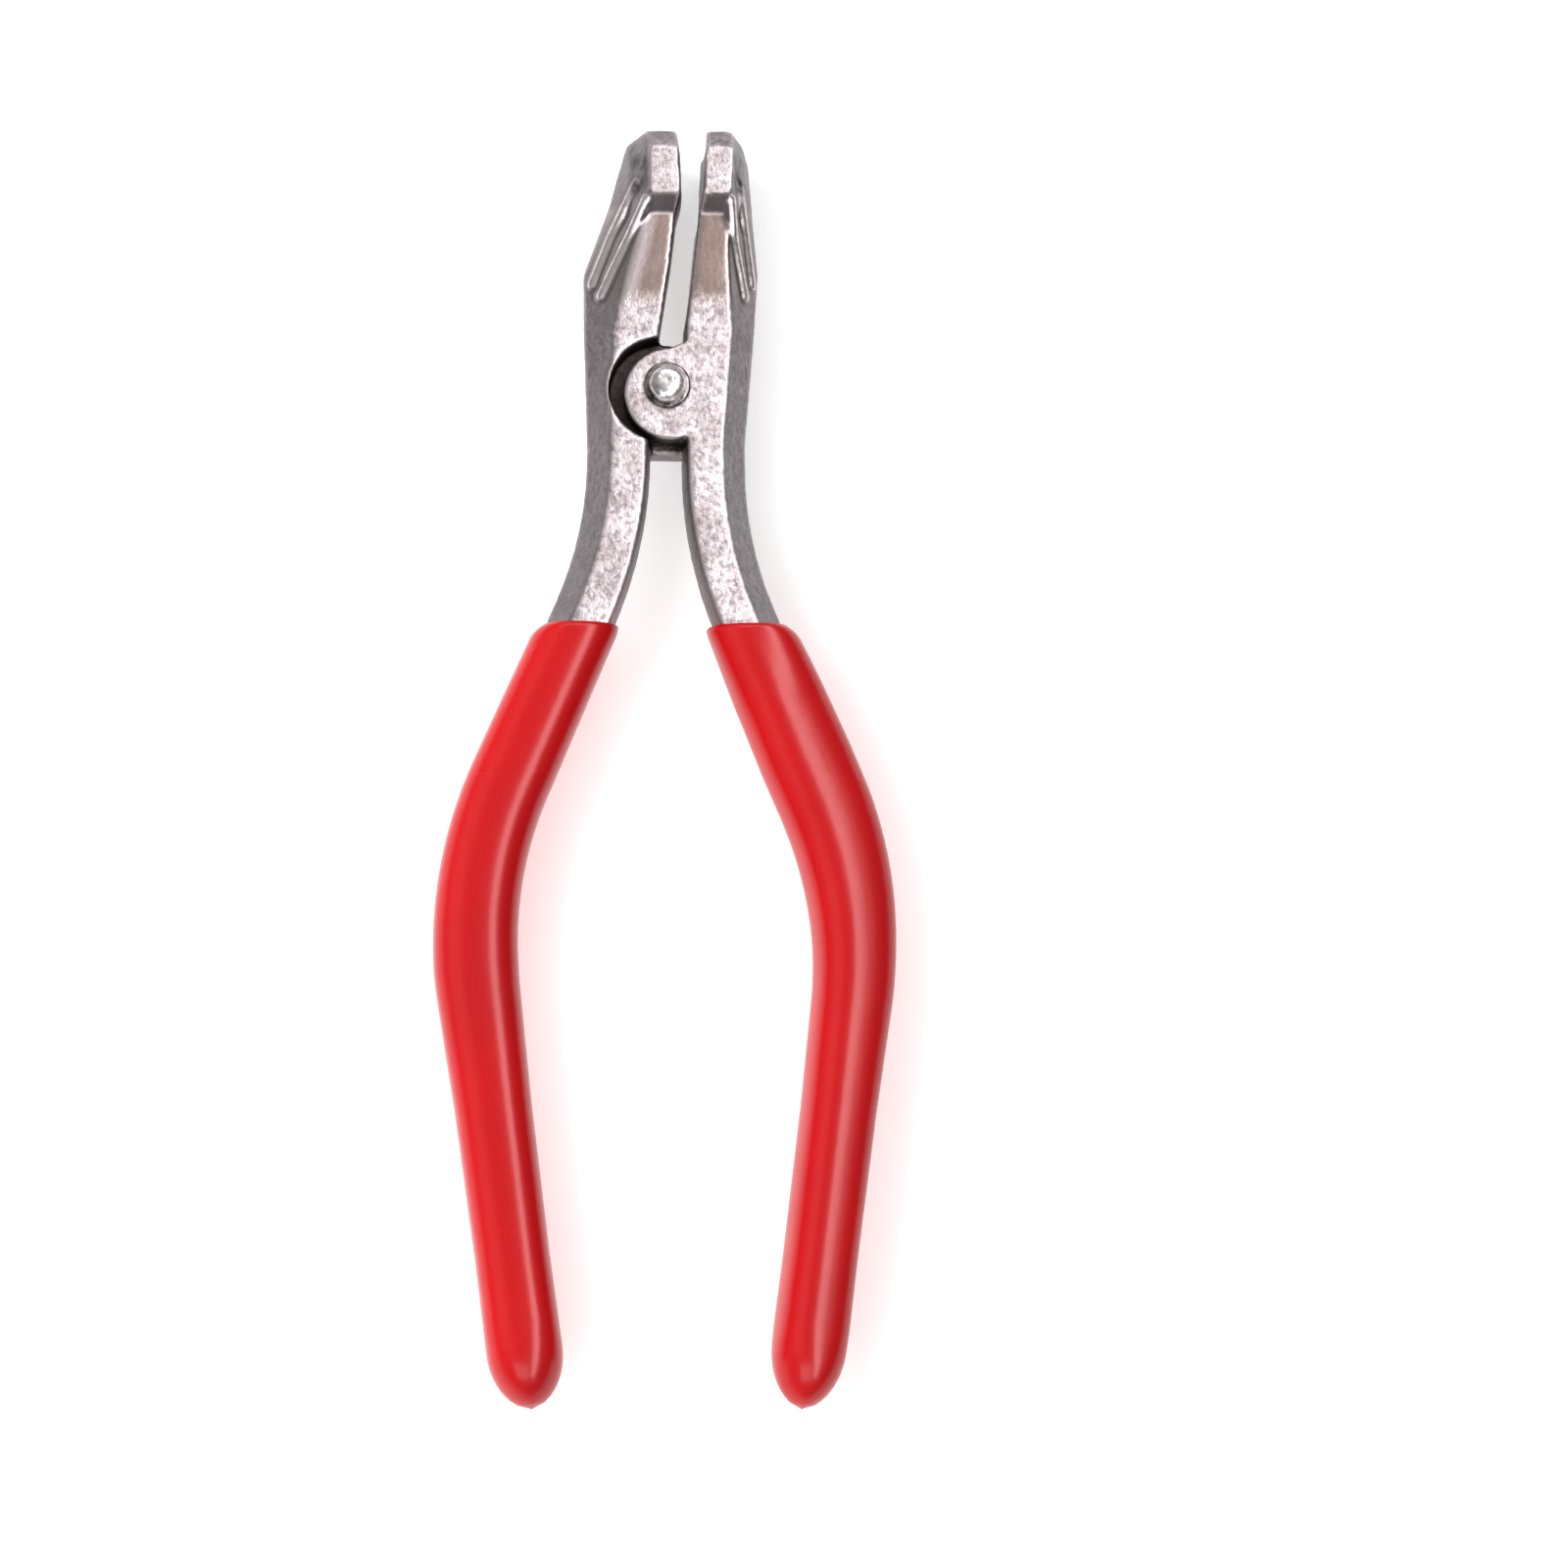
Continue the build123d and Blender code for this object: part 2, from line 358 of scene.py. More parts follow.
def remeshed_copy(node, name):
    """Merged copy of a CAD node, cut off inside its grip and turned into an even net."""
    mesh = frame["nodes"][node].data.copy()
    mesh.materials.clear()
    work = bmesh.new()
    work.from_mesh(mesh)
    bmesh.ops.remove_doubles(work, verts=work.verts, dist=1e-6)
    everything = work.verts[:] + work.edges[:] + work.faces[:]
    cut = bmesh.ops.bisect_plane(
        work, geom=everything, plane_co=(0, TANG_HIDDEN_Y, 0), plane_no=(0, -1, 0), clear_outer=True)
    rim = [item for item in cut["geom_cut"] if isinstance(item, bmesh.types.BMEdge)]
    bmesh.ops.contextual_create(work, geom=rim)
    work.to_mesh(mesh)
    work.free()
    piece = bpy.data.objects.new(name, mesh)
    bpy.context.collection.objects.link(piece)
    net = piece.modifiers.new("net", "REMESH")
    net.mode = "VOXEL"
    net.voxel_size = NET_SIZE
    graph = bpy.context.evaluated_depsgraph_get()
    even = bpy.data.meshes.new_from_object(piece.evaluated_get(graph))
    piece.modifiers.clear()
    piece.data = even
    return piece


def points_of(mesh):
    points = np.empty(len(mesh.vertices) * 3)
    mesh.vertices.foreach_get("co", points)
    return points.reshape(-1, 3)


def normals_of(mesh):
    normals = np.empty(len(mesh.vertices) * 3)
    mesh.vertex_normals.foreach_get("vector", normals)
    return normals.reshape(-1, 3)


def edges_of(mesh):
    edges = np.empty(len(mesh.edges) * 2, dtype=np.int64)
    mesh.edges.foreach_get("vertices", edges)
    return edges.reshape(-1, 2)


def neighbour_mean(values, edges):
    """Mean over each point's neighbours, for whole arrays."""
    total = np.zeros_like(values)
    count = np.zeros(len(values))
    for a, b in (edges.T, edges.T[::-1]):
        np.add.at(total, a, values[b])
        np.add.at(count, a, 1)
    return total / count[:, None]


def put_points(mesh, points):
    mesh.vertices.foreach_set("co", points.ravel())
    mesh.update()


def put_value(mesh, name, values):
    layer = mesh.attributes.new(name, "FLOAT", "POINT")
    layer.data.foreach_set("value", values.astype(np.float32))


# %% [markdown]
# ## Where the castings differ
# A jaw was ground on its face but not on its head, the backs of the jaws have two raised ribs,
# and the lap joint hides a pocket; the flares, the heads' shaded sides and the pocket are painted
# with shade, one flare lighter along its side. These could be painted on by hand. They are
# worked out instead, from each point's place beside the rivet, so they stay sharp and follow the
# model when it changes. Each mask is one inside its region and fades to nothing at its border.

# %% Masks
GROUND_FROM = 11.3 * MM                # above the rivet
GROUND_FADE = 3 * MM
HEAD_FROM = 27 * MM
HEAD_FADE = 0.8 * MM
CREASE_Y = [8.5, 17.6, 25.2, 28.0]     # the left jaw's crease, and its distance out from the rivet
CREASE_X = [7.7, 5.6, 3.6, 2.6]
BAND_WIDTH = 2.6 * MM
HEAD_FLANKS = {"left": (2.8 * MM, 3.1 * MM), "right": (9.5 * MM, 2.2 * MM)}    # crease and width
FLANK_Y = (27.8 * MM, 37 * MM)
POCKET_MIDDLE = (-0.8 * MM, -0.4 * MM)
POCKET_RADIUS = 8.3 * MM
WEB_HALF_WIDTH = 4.4 * MM
WEB_Y = (-9.3 * MM, -4 * MM)
LAP_HALF_DEPTH = 4.2 * MM
# The ribs' middle lines in plan, in millimetres beside the rivet
RIB_LINES = {
    "left": [[(-11.0, 15.8), (-8.1, 23.1), (-4.7, 30.0)], [(-9.8, 13.8), (-6.1, 21.4), (-3.4, 27.0)]],
    "right": [[(12.7, 15.8), (11.7, 23.1), (10.6, 30.0)], [(11.6, 13.8), (10.0, 21.4), (9.4, 27.0)]],
}


def inside(values, low, high, fade_low, fade_high):
    """1 between low and high, falling to 0 at both over the two fading lengths within them."""
    return ramp_between(values, low, low + fade_low) * ramp_between(values, high, high - fade_high)


def ground_face_and_shade(place):
    """1 on a jaw's ground face, between the blasted lap and the jaw's head, where the flare is painted in
    shade.
    """
    ground = ramp_between(place[:, 1], GROUND_FROM, GROUND_FROM + GROUND_FADE)
    return ground * ramp_between(place[:, 1], HEAD_FROM + HEAD_FADE, HEAD_FROM)


def pale_band(place):
    """1 along the outer side of the left jaw's flare, where its painted shade is lighter, fading inwards.
    """
    crease = np.interp(place[:, 1] / MM, CREASE_Y, CREASE_X) * MM
    return ramp_between(crease + place[:, 0], BAND_WIDTH, BAND_WIDTH - 1.2 * MM) * (place[:, 0] < 0)


def head_flank_shade(place, crease, width):
    """1 on the unground side of a jaw head, painted dark as shade, between its crease and width further
    out.
    """
    along = inside(place[:, 1], *FLANK_Y, 1 * MM, 1.2 * MM)
    return along * inside(np.abs(place[:, 0]) - crease, 0, width, 0.4 * MM, 0.9 * MM)


def joint_shadow(place):
    """1 deep inside the lap joint, where shade is painted: within its round pocket, or on the web below
    it.
    """
    out = np.hypot(place[:, 0] - POCKET_MIDDLE[0], place[:, 1] - POCKET_MIDDLE[1])
    pocket = ramp_between(out, POCKET_RADIUS, POCKET_RADIUS - 0.5 * MM)
    web = ramp_between(np.abs(place[:, 0]), WEB_HALF_WIDTH, WEB_HALF_WIDTH - 0.8 * MM)
    web *= inside(place[:, 1], *WEB_Y, 0.6 * MM, 1 * MM)
    deep = ramp_between(np.abs(place[:, 2]), LAP_HALF_DEPTH, LAP_HALF_DEPTH - 0.6 * MM)
    return np.maximum(pocket, web) * deep


def rib_distance(place, lines):
    """Distance in plan from the nearest rib line: |p - a - t (b - a)|, with t held in 0 to 1."""
    nearest = np.full(len(place), np.inf)
    for line in lines:
        for a, b in zip(line, line[1:]):
            a, b = np.array(a) * MM, np.array(b) * MM
            share = np.clip((place[:, :2] - a) @ (b - a) / ((b - a) @ (b - a)), 0, 1)
            gap = np.linalg.norm(place[:, :2] - a - share[:, None] * (b - a), axis=1)
            nearest = np.minimum(nearest, gap)
    return nearest


print("ribs on each jaw back", {side: len(lines) for side, lines in RIB_LINES.items()})

# %% [markdown]
# ## Softening the castings
# Painted shade in the hollows and on steep sides, and bright edges that are partly wear and
# partly painted highlight, follow the shape. How far a point stands out from its neighbours tells
# an edge from a hollow, and how level it faces tells a flat from a steep side. Both are measured
# on the softened net and stored with the masks, and last the skin is roughened slightly, as the
# shot left it. A bump in the material alone would leave the outline too clean.

# %% Soft castings
ROUNDS = 7
EASE = 0.55                            # share of the way to the neighbours' middle in each round
BEND_ROUNDS = 3
BEND_GAIN = 4.0
RIB_CREST = (0.80 * MM, 0.45 * MM)     # distances from the rib's line where the crest fades in
RIB_GROOVE = (1.5 * MM, 1.1 * MM)
# Rib crests are painted bright as highlight and the grooves beside them painted in shade
CREST_LIFT = 0.45
GROOVE_DROP = 0.26
STEEPNESS = (0.93, 0.80)               # how level a point faces where painted shade starts and is full
SKIN_DEPTH = 0.035 * MM
GROUND_SMOOTHNESS = 0.85
SKIN_GRAINS = [(0.9 * MM, 1.0, 3), (0.55 * MM, 0.6, 4)]    # spacing, share and seed


# Below a half this value paints shade, above it bright edges as wear and painted highlight
def relief_of(points, normals, edges, lines):
    """A half on flats, more on edges and ribs, and less in hollows and beside the ribs.

    The bend at a point is its height above its neighbours' middle, along its normal, over the
    net's size, averaged over the neighbours a few times.
    """
    bend = ((points - neighbour_mean(points, edges)) * normals).sum(axis=1) / NET_SIZE
    bend = bend[:, None]
    for _ in range(BEND_ROUNDS):
        bend = neighbour_mean(bend, edges)
    gap = rib_distance(points - pivot, lines)
    crest = ramp_between(gap, *RIB_CREST)
    groove = ramp_between(gap, *RIB_GROOVE) * (1 - crest)
    return np.clip(0.5 + BEND_GAIN * bend[:, 0] + CREST_LIFT * crest - GROOVE_DROP * groove, 0, 1)


def soft_casting(side):
    """Rounded and roughened copy of a lever, with its relief and masks."""
    node = f"{side}_lever"
    piece = remeshed_copy(node, f"{node}_casting")
    mesh = piece.data
    edges = edges_of(mesh)
    points = points_of(mesh)
    for _ in range(ROUNDS):
        points += EASE * (neighbour_mean(points, edges) - points)
    put_points(mesh, points)
    normals = normals_of(mesh)
    place = points - pivot
    ground = ground_face_and_shade(place)
    facing = neighbour_mean(np.abs(normals), edges)[:, 2]
    # Painted shade in hollows, and bright edges that are partly wear and partly painted highlight
    put_value(mesh, "relief", relief_of(points, normals, edges, RIB_LINES[side]))
    # The ground faces carry both their polish and the flares' painted shade
    put_value(mesh, "ground", ground)
    # Steep sides get painted shade
    put_value(mesh, "dull", ramp_between(facing, *STEEPNESS))
    # Painted shade deep in the joint
    put_value(mesh, "hollow", joint_shadow(place))
    put_value(mesh, "band", pale_band(place))
    # Painted shade on the heads' shaded sides
    put_value(mesh, "flank", head_flank_shade(place, *HEAD_FLANKS[side]))
    skin = sum(share * lattice_noise(points, spacing, seed) for spacing, share, seed in SKIN_GRAINS)
    depth = SKIN_DEPTH * (1 - GROUND_SMOOTHNESS * ground)
    low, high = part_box(node)
    put_points(mesh, np.clip(points + normals * (skin * depth)[:, None], low, high))
    mesh.shade_smooth()
    mesh.materials.append(nickel)
    print(piece.name, len(mesh.polygons), "faces")
    return piece


for side in ("left", "right"):
    lever = soft_casting(side)
    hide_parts(f"{side}_lever")
    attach(lever, f"{side}_half")

# %% [markdown]
# ## Bright steel
# The rivet and its washer are bare steel, brighter than the plated castings where the hammer
# left facets and painted almost black round their feet as shade. One function makes both
# finishes from two colours each: a rivet struck bright and a washer painted dark as shade.

# %% Bright steel
# Painted shade round the feet of the rivet and washer
FOOT_SHADE = (0.05, 0.04, 0.04, 1)


def bare_steel(name, shade, shine):
    shader = Shader(bpy.data.materials.new(name))
    dents = shader.noise(700, 2)
    fine = shader.noise(3500, 3, 0.6)
    tint = shader.mix(shader.ramp(dents, (0.36, 0), (0.62, 1)), shade, shine)
    # The feet are painted dark as shade
    tint = shader.mix(shader.ramp(shader.attribute("relief"), (0.0, 1.0), (0.30, 0)), tint, FOOT_SHADE)
    skin = shader.bump(dents, 0.5, 0.0003)
    skin = shader.bump(fine, 0.25, 0.00004, skin)
    return shader.finish(Base_Color=tint, Metallic=1.0, Roughness=0.2 + 0.18 * fine, Normal=skin)


rivet_steel = bare_steel("hammered_steel", (0.42, 0.38, 0.38, 1), (0.95, 0.90, 0.91, 1))
# The washer is painted dark for the shade round the rivet head
washer_steel = bare_steel("washer_steel", (0.06, 0.052, 0.052, 1), (0.26, 0.23, 0.23, 1))

# %% [markdown]
# ## Rivet and washer
# The rivet is a steel pin. Its back head was formed by the maker, and its front end was hammered
# over the washer when the tool was put together, so it is a slightly lopsided dome. A profile is
# carried round the pin's axis and pushed in and out a little as it goes, which a plain lathe
# shape would not show.


# %% Turned profiles
ARC_STEPS = 6
AROUND = 96
AXIS = 1e-6                            # a radius small enough to close on the pin's axis


def round_profile(corners, radius):
    """Profile through (r, z) corners, each rounded by the curve (1-t)^2 a + 2t(1-t) c + t^2 b.

    Here c is the corner, and a and b lie on the runs before and after it, at most radius away.
    """
    corners = np.array(corners, dtype=float)
    points = [corners[:1]]
    share = np.linspace(0, 1, ARC_STEPS)[:, None]
    for before, corner, after in zip(corners, corners[1:], corners[2:]):
        reach_in = min(radius, 0.45 * np.linalg.norm(corner - before))
        reach_out = min(radius, 0.45 * np.linalg.norm(after - corner))
        a = corner + (before - corner) / np.linalg.norm(before - corner) * reach_in
        b = corner + (after - corner) / np.linalg.norm(after - corner) * reach_out
        points.append((1 - share) ** 2 * a + 2 * share * (1 - share) * corner + share**2 * b)
    points.append(corners[-1:])
    return np.concatenate(points)


def spun(name, profile, wobble, seed):
    """Profile (r, z) spun about the rivet, with r multiplied by 1 + wobble * wave(turn).

    The wave is a sum of cosines that go round two, three and five times, each started at random.
    """
    turn = np.linspace(0, 2 * np.pi, AROUND, endpoint=False)
    draw = np.random.default_rng(seed).uniform(0, 2 * np.pi, 3)
    wave = np.cos(2 * turn + draw[0]) + 0.6 * np.cos(3 * turn + draw[1]) + 0.4 * np.cos(5 * turn + draw[2])
    r = profile[:, :1] * (1 + wobble * wave)
    z = np.repeat(profile[:, 1:], AROUND, axis=1)
    grid = np.stack([pivot[0] + r * np.cos(turn), pivot[1] + r * np.sin(turn), z], axis=-1)
    return closed_grid(name, grid)


def shade_foot(piece, low, high):
    """Relief that runs from painted shade at height low to clean steel at height high."""
    put_value(piece.data, "relief", ramp_between(points_of(piece.data)[:, 2], low, high))


# %% Rivet and washer
rivet_low, rivet_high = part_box("rivet")
washer_low, washer_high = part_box("rivet_washer")
back_radius = (rivet_high[0] - rivet_low[0]) / 2
washer_radius = (washer_high[0] - washer_low[0]) / 2
dome_radius = 0.80 * washer_radius
dome_height = rivet_high[2] - washer_high[2]
pin_radius = 0.53 * washer_radius      # clear of the bore, which the rounding narrows a little
LIFT = 0.02 * MM                       # keeps touching faces from lying in one plane
dome_base = washer_high[2] + LIFT
lap_back = pivot[2] - 5 * MM + LIFT

dome = [
    (AXIS, rivet_low[2]),
    (0.55 * back_radius, rivet_low[2]),
    (0.98 * back_radius, rivet_low[2] + 0.6 * MM),
    (0.98 * back_radius, lap_back),
    (pin_radius, lap_back),
    (pin_radius, dome_base),
    (0.93 * dome_radius, dome_base),
    (dome_radius, washer_high[2] + 0.30 * dome_height),
    (0.93 * dome_radius, washer_high[2] + 0.62 * dome_height),
    (0.62 * dome_radius, washer_high[2] + 0.93 * dome_height),
    (0.25 * dome_radius, washer_high[2] + 0.985 * dome_height),
    (AXIS, washer_high[2] + 0.97 * dome_height),
]
rivet = spun("rivet_hammered", round_profile(dome, 0.5 * MM), wobble=0.022, seed=5)
shade_foot(rivet, washer_high[2], washer_high[2] + 0.9 * MM)

ring = [
    (pin_radius, washer_low[2]),
    (0.97 * washer_radius, washer_low[2]),
    (washer_radius, washer_low[2] + 0.25 * MM),
    (0.94 * washer_radius, washer_high[2] - 0.08 * MM),
    (0.80 * washer_radius, washer_high[2]),
    (pin_radius, washer_high[2]),
]
washer = spun("washer_turned", round_profile(ring, 0.2 * MM), wobble=0.008, seed=8)
shade_foot(washer, washer_low[2] - 0.1 * MM, washer_low[2] + 0.35 * MM)

for piece, node, steel in ((rivet, "rivet", rivet_steel), (washer, "rivet_washer", washer_steel)):
    piece.data.materials.append(steel)
    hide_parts(node)
    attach(piece, "left_half")

# %% [markdown]
# ## Red vinyl
# Dipped vinyl is opaque and smooth but not polished: it shows one long soft highlight, with the
# red clouding slightly where the skin is thicker. A glossy plastic would look hard and wet, so
# the base shine is turned down and a thin, fairly rough coat is laid over it.

# %% Red vinyl
BRIGHT_RED = (0.60, 0.004, 0.006, 1)
DEEP_RED = (0.53, 0.003, 0.006, 1)
SPECK_RED = (0.42, 0.003, 0.005, 1)


def red_vinyl():
    shader = Shader(bpy.data.materials.new("red_vinyl"))
    cloud = shader.noise(45, 3)
    tint = shader.mix(shader.ramp(cloud, (0.35, 0), (0.7, 1)), BRIGHT_RED, DEEP_RED)
    specks = shader.ramp(shader.noise(1700, 2), (0.27, 0.35), (0.34, 0))
    return shader.finish(
        Base_Color=shader.mix(specks, tint, SPECK_RED), Roughness=0.24 + 0.08 * cloud,
        Normal=shader.bump(shader.noise(420, 2), 0.10, 0.0003),
        Coat_Weight=0.12, Coat_Roughness=0.15, Specular_IOR_Level=0.26)


vinyl = red_vinyl()

# %% [markdown]
# ## Handle lines
# Each handle leaves the rivet straight, bends out, bows, and comes back in. Its middle line is
# given by four corners beside the rivet: the start, the corner of the bend, the corner of the
# bow, and the end. Large arcs round the two middle ones. A free curve would need many more
# points to keep its long runs straight. The right lever bends a little lower, and its sleeve is
# fuller above the bow.

# %% Handle line
HANDLE_CORNERS = {
    "left": np.array([(-7.2, -8.0), (-7.2, -21.9), (-29.35, -73.2), (-19.35, -149.32)]) * MM,
    "right": np.array([(7.2, -8.0), (7.2, -23.3), (28.9, -74.8), (19.35, -149.32)]) * MM,
}
HANDLE_RADIUS = 60 * MM
HANDLE_SPACING = 0.8 * MM
ARC_POINTS = 40


def distance_along(line):
    """Distance run from the first point of a line to each of its points."""
    return np.concatenate([[0], np.cumsum(np.linalg.norm(np.diff(line, axis=0), axis=1))])


def rounded_line(corners):
    """Evenly spaced points along straight runs joined by arcs tangent to both of them.

    An arc of radius r that turns by angle w starts r tan(w / 2) before its corner.
    """
    pieces = [corners[:1]]
    for before, corner, after in zip(corners, corners[1:], corners[2:]):
        towards = (corner - before) / np.linalg.norm(corner - before)
        away = (after - corner) / np.linalg.norm(after - corner)
        turn = np.arccos(np.clip(towards @ away, -1, 1))
        reach = HANDLE_RADIUS * np.tan(turn / 2)
        hand = np.sign(towards[0] * away[1] - towards[1] * away[0])
        centre = corner - towards * reach + hand * HANDLE_RADIUS * np.array([-towards[1], towards[0]])
        angle = np.linspace(0, turn, ARC_POINTS)[:, None]
        start = corner - towards * reach - centre
        turned = hand * np.array([-start[1], start[0]])
        pieces.append(centre + start * np.cos(angle) + turned * np.sin(angle))
    pieces.append(corners[-1:])
    line = np.concatenate(pieces)
    run = distance_along(line)
    even = np.linspace(0, run[-1], int(run[-1] / HANDLE_SPACING))
    return np.stack([np.interp(even, run, line[:, 0]), np.interp(even, run, line[:, 1])], axis=1)


handle_lines = {side: rounded_line(corners) + pivot[:2] for side, corners in HANDLE_CORNERS.items()}
print("handle lengths", {side: round(distance_along(line)[-1], 4) for side, line in handle_lines.items()})

# %% [markdown]
# ## Dipped sleeves
# The handles were lowered into liquid vinyl, so the skin's upper edge is level, the ends are
# drawn out to a blunt point, and the surface is very smooth. The sleeve is one soft section, a
# rounded rectangle, carried along the handle's middle line. Near the top the section turns level
# and draws in on itself, and near the end it narrows to the point. A tube with a bevel would keep
# one section all the way, and these swell, roll over slightly and come to a ridge.

# %% Section sizes
WIDTH_SHARES = {
    "left": [0.1, 0.22, 0.34, 0.56, 0.7, 0.85, 1.0],
    "right": [0.1, 0.2, 0.27, 0.34, 0.40, 0.46, 0.54, 0.7, 0.85, 1.0],
}
HALF_WIDTHS = {
    "left": np.array([5.7, 5.75, 6.0, 6.2, 5.6, 5.4, 5.6]) * MM,
    "right": np.array([5.7, 6.1, 6.7, 7.0, 6.9, 6.6, 6.1, 5.45, 5.3, 5.5]) * MM,
}
SQUARENESS = 2.6
END_SQUARENESS = 1.65
END_LENGTH = 9 * MM
LEVEL_LENGTH = 14 * MM                 # below the upper edge, where the section turns level
ROLL_LENGTH = 12 * MM
SECTION_ROLL = {"left": 0.0, "right": np.radians(-16)}
ROLL_SHRINK = 0.16                     # keeps a rolled section within its width
SECTION_POINTS = 72
# How far down the upper edge's rounding starts, and how much it draws the section in
OUTER_ROUND = (3.0 * MM, 2.4 * MM)
INNER_ROUND = (1.2 * MM, 0.9 * MM)
FACE_ROUND = (1.0 * MM, 0.8 * MM)


def edge_round(distance, length, amount):
    """Quarter-round drawn in by amount over the last length before an edge."""
    share = np.clip(1 - distance / length, 0, 1)
    return amount * (1 - np.sqrt(np.clip(1 - share**2, 0, 1)))


def section_directions(line, from_top):
    """Unit direction across the line at each point, and the sine of its angle to the line.

    It is square to the line, and turns to +X over the length below the upper edge.
    """
    heading = np.gradient(line, axis=0)
    heading /= np.linalg.norm(heading, axis=1, keepdims=True)
    square = np.stack([-heading[:, 1], heading[:, 0]], axis=1)
    level = (np.clip(1 - from_top / LEVEL_LENGTH, 0, 1) ** 1.2)[:, None]
    across = square * (1 - level) + np.array([1.0, 0.0]) * level
    across /= np.linalg.norm(across, axis=1, keepdims=True)
    return across, np.abs(across[:, 0] * heading[:, 1] - across[:, 1] * heading[:, 0])


# %% Sleeves
def sleeve_grid(line, across, left_reach, right_reach, depth, squareness, roll):
    """Section |x / w|^n + |z / d|^n = 1 at every point of the line, turned about it by roll.

    Going round by angle u, x = w sign(cos u) |cos u|^(2 / n) and z = d sign(sin u) |sin u|^(2 / n).
    """
    turn = np.linspace(0, 2 * np.pi, SECTION_POINTS, endpoint=False)
    power = 2 / squareness[:, None]
    x = np.sign(np.cos(turn)) * np.abs(np.cos(turn)) ** power
    z = np.sign(np.sin(turn)) * np.abs(np.sin(turn)) ** power
    x = np.where(np.cos(turn) > 0, right_reach[:, None], left_reach[:, None]) * x
    z = depth[:, None] * z
    shrink = (1 - ROLL_SHRINK * np.abs(np.sin(roll)))[:, None]
    sideways = (x * np.cos(roll)[:, None] - z * np.sin(roll)[:, None]) * shrink
    upwards = (x * np.sin(roll)[:, None] + z * np.cos(roll)[:, None]) * shrink
    plan = line[:, None, :] + across[:, None, :] * sideways[..., None]
    return np.concatenate([plan, pivot[2] + upwards[..., None]], axis=-1)


def sleeve(side):
    """Soft section carried along the handle line, level at its top edge and pointed at its end.

    At the end both halves shrink by (1 - (1 - s / length)^2.2)^0.6, where s is the distance to
    the point, and the section's squareness falls, which leaves a soft ridge up from the point.
    """
    low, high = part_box(f"{side}_grip")
    line = handle_lines[side]
    from_top = high[1] - line[:, 1]
    run = distance_along(line)
    to_end = run[-1] - run
    across, sine = section_directions(line, from_top)
    end = np.clip(1 - np.clip(1 - to_end / END_LENGTH, 0, 1) ** 2.2, 0, 1) ** 0.6
    width = np.interp(run / run[-1], WIDTH_SHARES[side], HALF_WIDTHS[side]) / sine * end
    outer = width - edge_round(from_top, *OUTER_ROUND)
    inner = width - edge_round(from_top, *INNER_ROUND)
    depth = (high[2] - low[2]) / 2 * end - edge_round(from_top, *FACE_ROUND)
    softening = np.clip(to_end / (1.3 * END_LENGTH), 0, 1)
    squareness = END_SQUARENESS + (SQUARENESS - END_SQUARENESS) * softening
    roll = SECTION_ROLL[side] * np.clip(from_top / ROLL_LENGTH, 0, 1)
    left_reach, right_reach = (outer, inner) if side == "left" else (inner, outer)
    values = (line, across, left_reach, right_reach, depth, squareness, roll)
    return closed_grid(f"{side}_sleeve", sleeve_grid(*(value[from_top > 0] for value in values)))


for side in ("left", "right"):
    grip = sleeve(side)
    grip.data.materials.append(vinyl)
    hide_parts(f"{side}_grip")
    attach(grip, f"{side}_half")

# %% [markdown]
# ## Floor
# The tool lies on a pale, plain floor. A grey floor could be lit until it looks white, but that
# much light would wash out the tool, so the floor glows faintly by itself instead.

# %% Floor
FLOOR_HALF = 3.0
FLOOR_GLOW = 0.42


def pale_floor():
    shader = Shader(bpy.data.materials.new("pale_floor"))
    cloud = shader.noise(6, 3)
    tint = shader.mix(cloud, (0.90, 0.90, 0.90, 1), (0.93, 0.93, 0.93, 1))
    return shader.finish(
        Base_Color=tint, Roughness=0.8 + 0.1 * cloud,
        Emission_Color=(1, 1, 1, 1), Emission_Strength=FLOOR_GLOW)


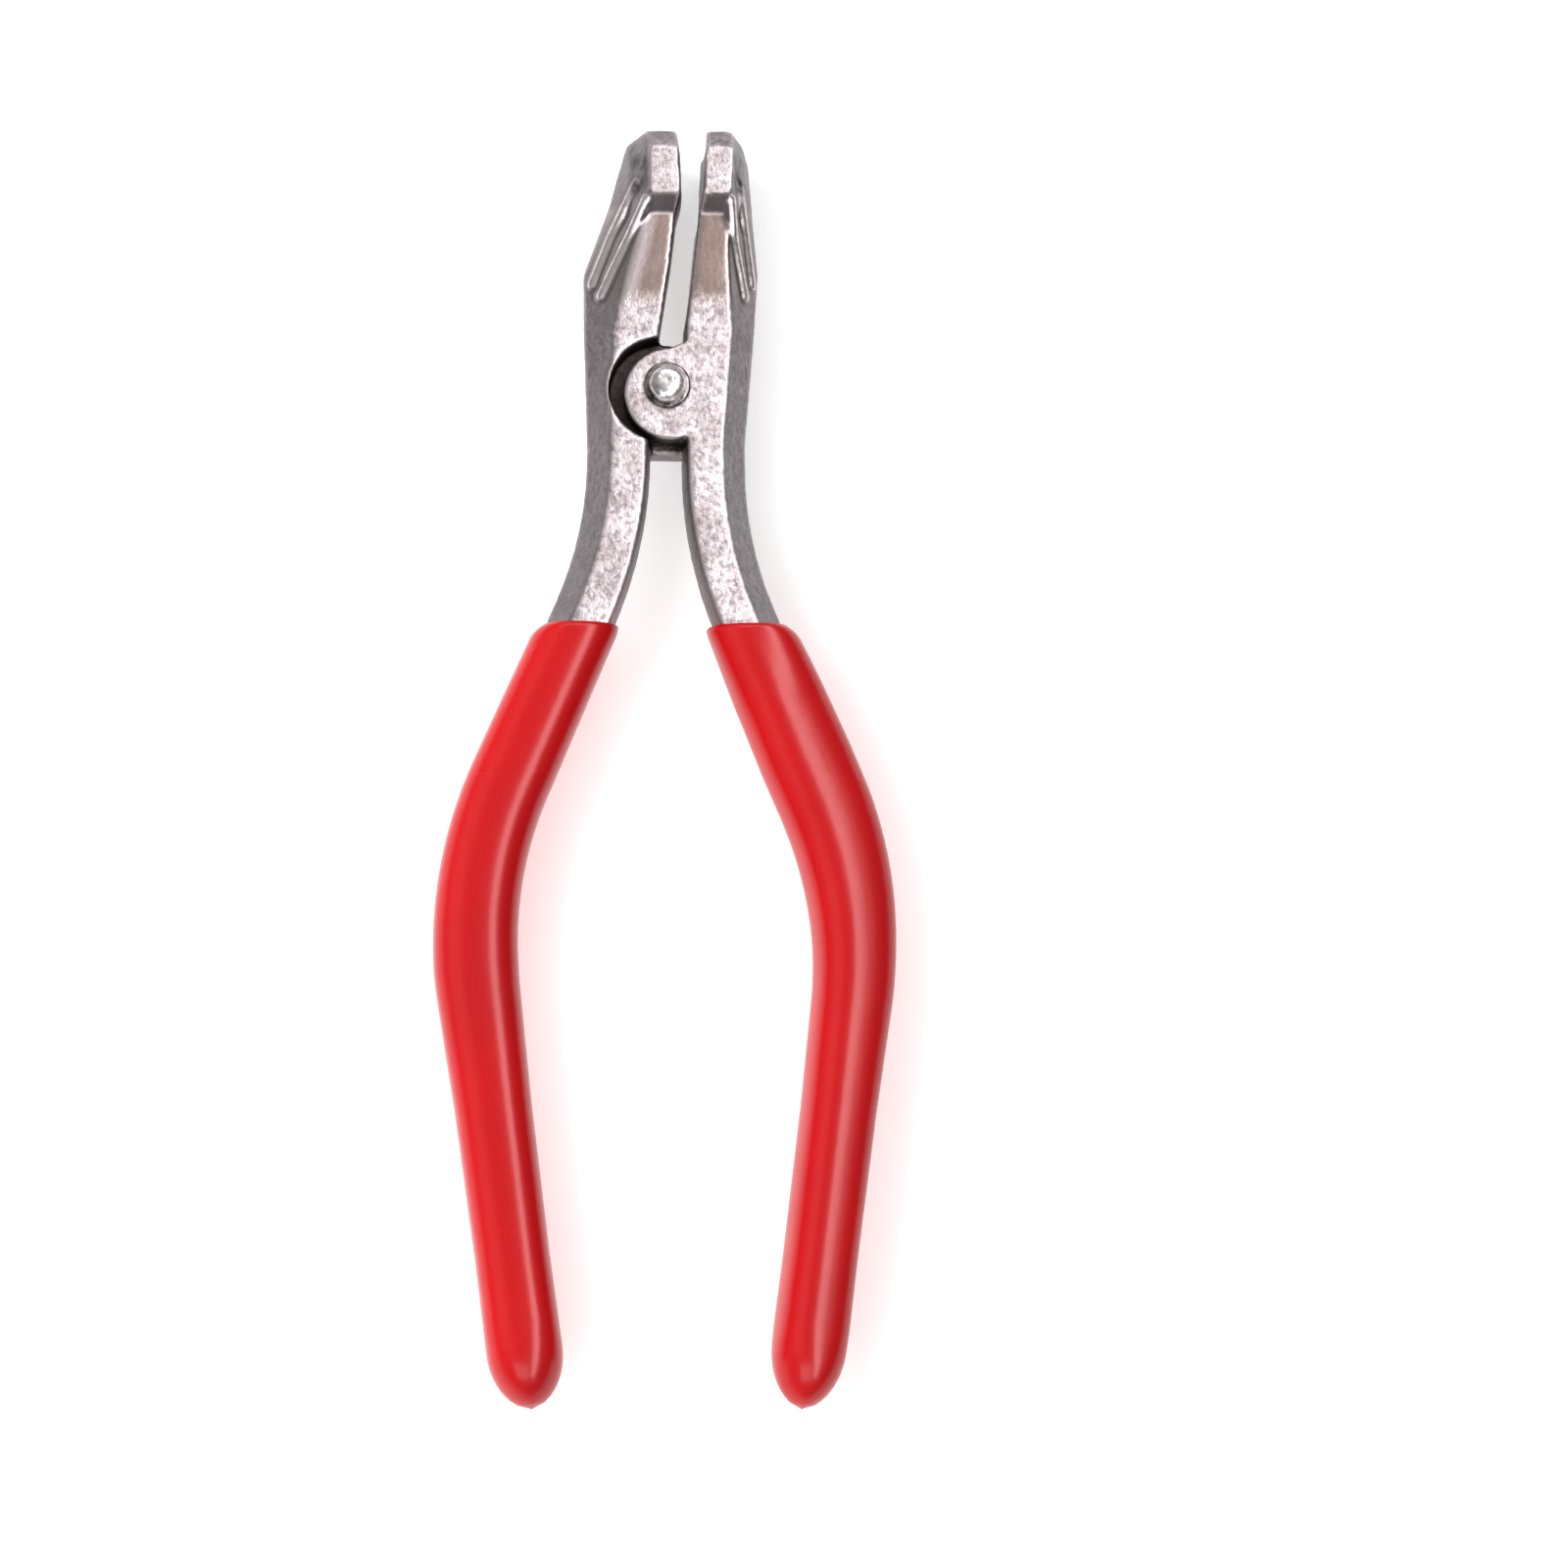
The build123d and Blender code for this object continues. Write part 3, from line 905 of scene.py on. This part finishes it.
corners = np.array([(-1, -1, 0), (1, -1, 0), (1, 1, 0), (-1, 1, 0)]) * FLOOR_HALF
floor = mesh_from("floor", corners, [[0, 1, 2, 3]])
floor.data.materials.append(pale_floor())

# %% [markdown]
# ## Light
# Large soft lights leave the long pale streaks on the vinyl and broad ones on the metal. One
# light could do both, but moving it for the vinyl would change the metal too. So the streak light
# is seen only in reflections, and the window only lights dull surfaces, and each is placed
# without regard to the other. Two weaker ones beyond the ends soften the shadows.


# %% Light
def soft_light(name, place, aim, width, length, power):
    """Rectangular light at place, facing aim, with its long side along +Y as far as it can."""
    data = bpy.data.lights.new(name, "AREA")
    data.shape = "RECTANGLE"
    data.size = width
    data.size_y = length
    data.energy = power
    light = bpy.data.objects.new(name, data)
    bpy.context.collection.objects.link(light)
    light.matrix_world = facing_away(Vector(place), Vector(place) - Vector(aim))
    print(name, power, "watts")
    return light


MIDDLE = (0, 0, 0)
streak = soft_light("streak", (0.44, -0.1, 0.90), (0, -0.1, 0), width=0.30, length=1.9, power=14)
streak.visible_diffuse = False
window = soft_light("window", (-0.9, 0.2, 1.0), MIDDLE, width=1.0, length=1.0, power=12)
window.visible_glossy = False
soft_light("beyond_the_jaws", (0.1, 1.0, 1.0), MIDDLE, width=1.2, length=0.7, power=6.5)
soft_light("beyond_the_handles", (-0.3, -0.95, 1.1), MIDDLE, width=1.0, length=0.7, power=6)

# %% [markdown]
# ## Room
# Metal shows what surrounds it. A room of one grey would make it look flat, so this one is pale
# overhead and to the left, and darker to the right and at the horizon, which makes the flats
# bright and the sloping edges dark.

# %% Room
ROOM_GREY = 0.24
ROOM_CHANGE = 0.16


def soft_room():
    """Grey that rises with height and falls to the right, by the same amount."""
    shader = Shader(bpy.data.worlds.new("soft_room"), "Background")
    direction = shader.node("TexCoord", {}, {}, "Generated")
    sideways = shader.node("SeparateXYZ", {}, {"Vector": direction}, "X")
    upwards = shader.node("SeparateXYZ", {}, {"Vector": direction}, "Z")
    grey = ROOM_GREY + ROOM_CHANGE * upwards - ROOM_CHANGE * sideways
    return shader.finish(Color=shader.ramp(grey, (0, 0), (1, 1)), Strength=1.0)


bpy.context.scene.world = soft_room()
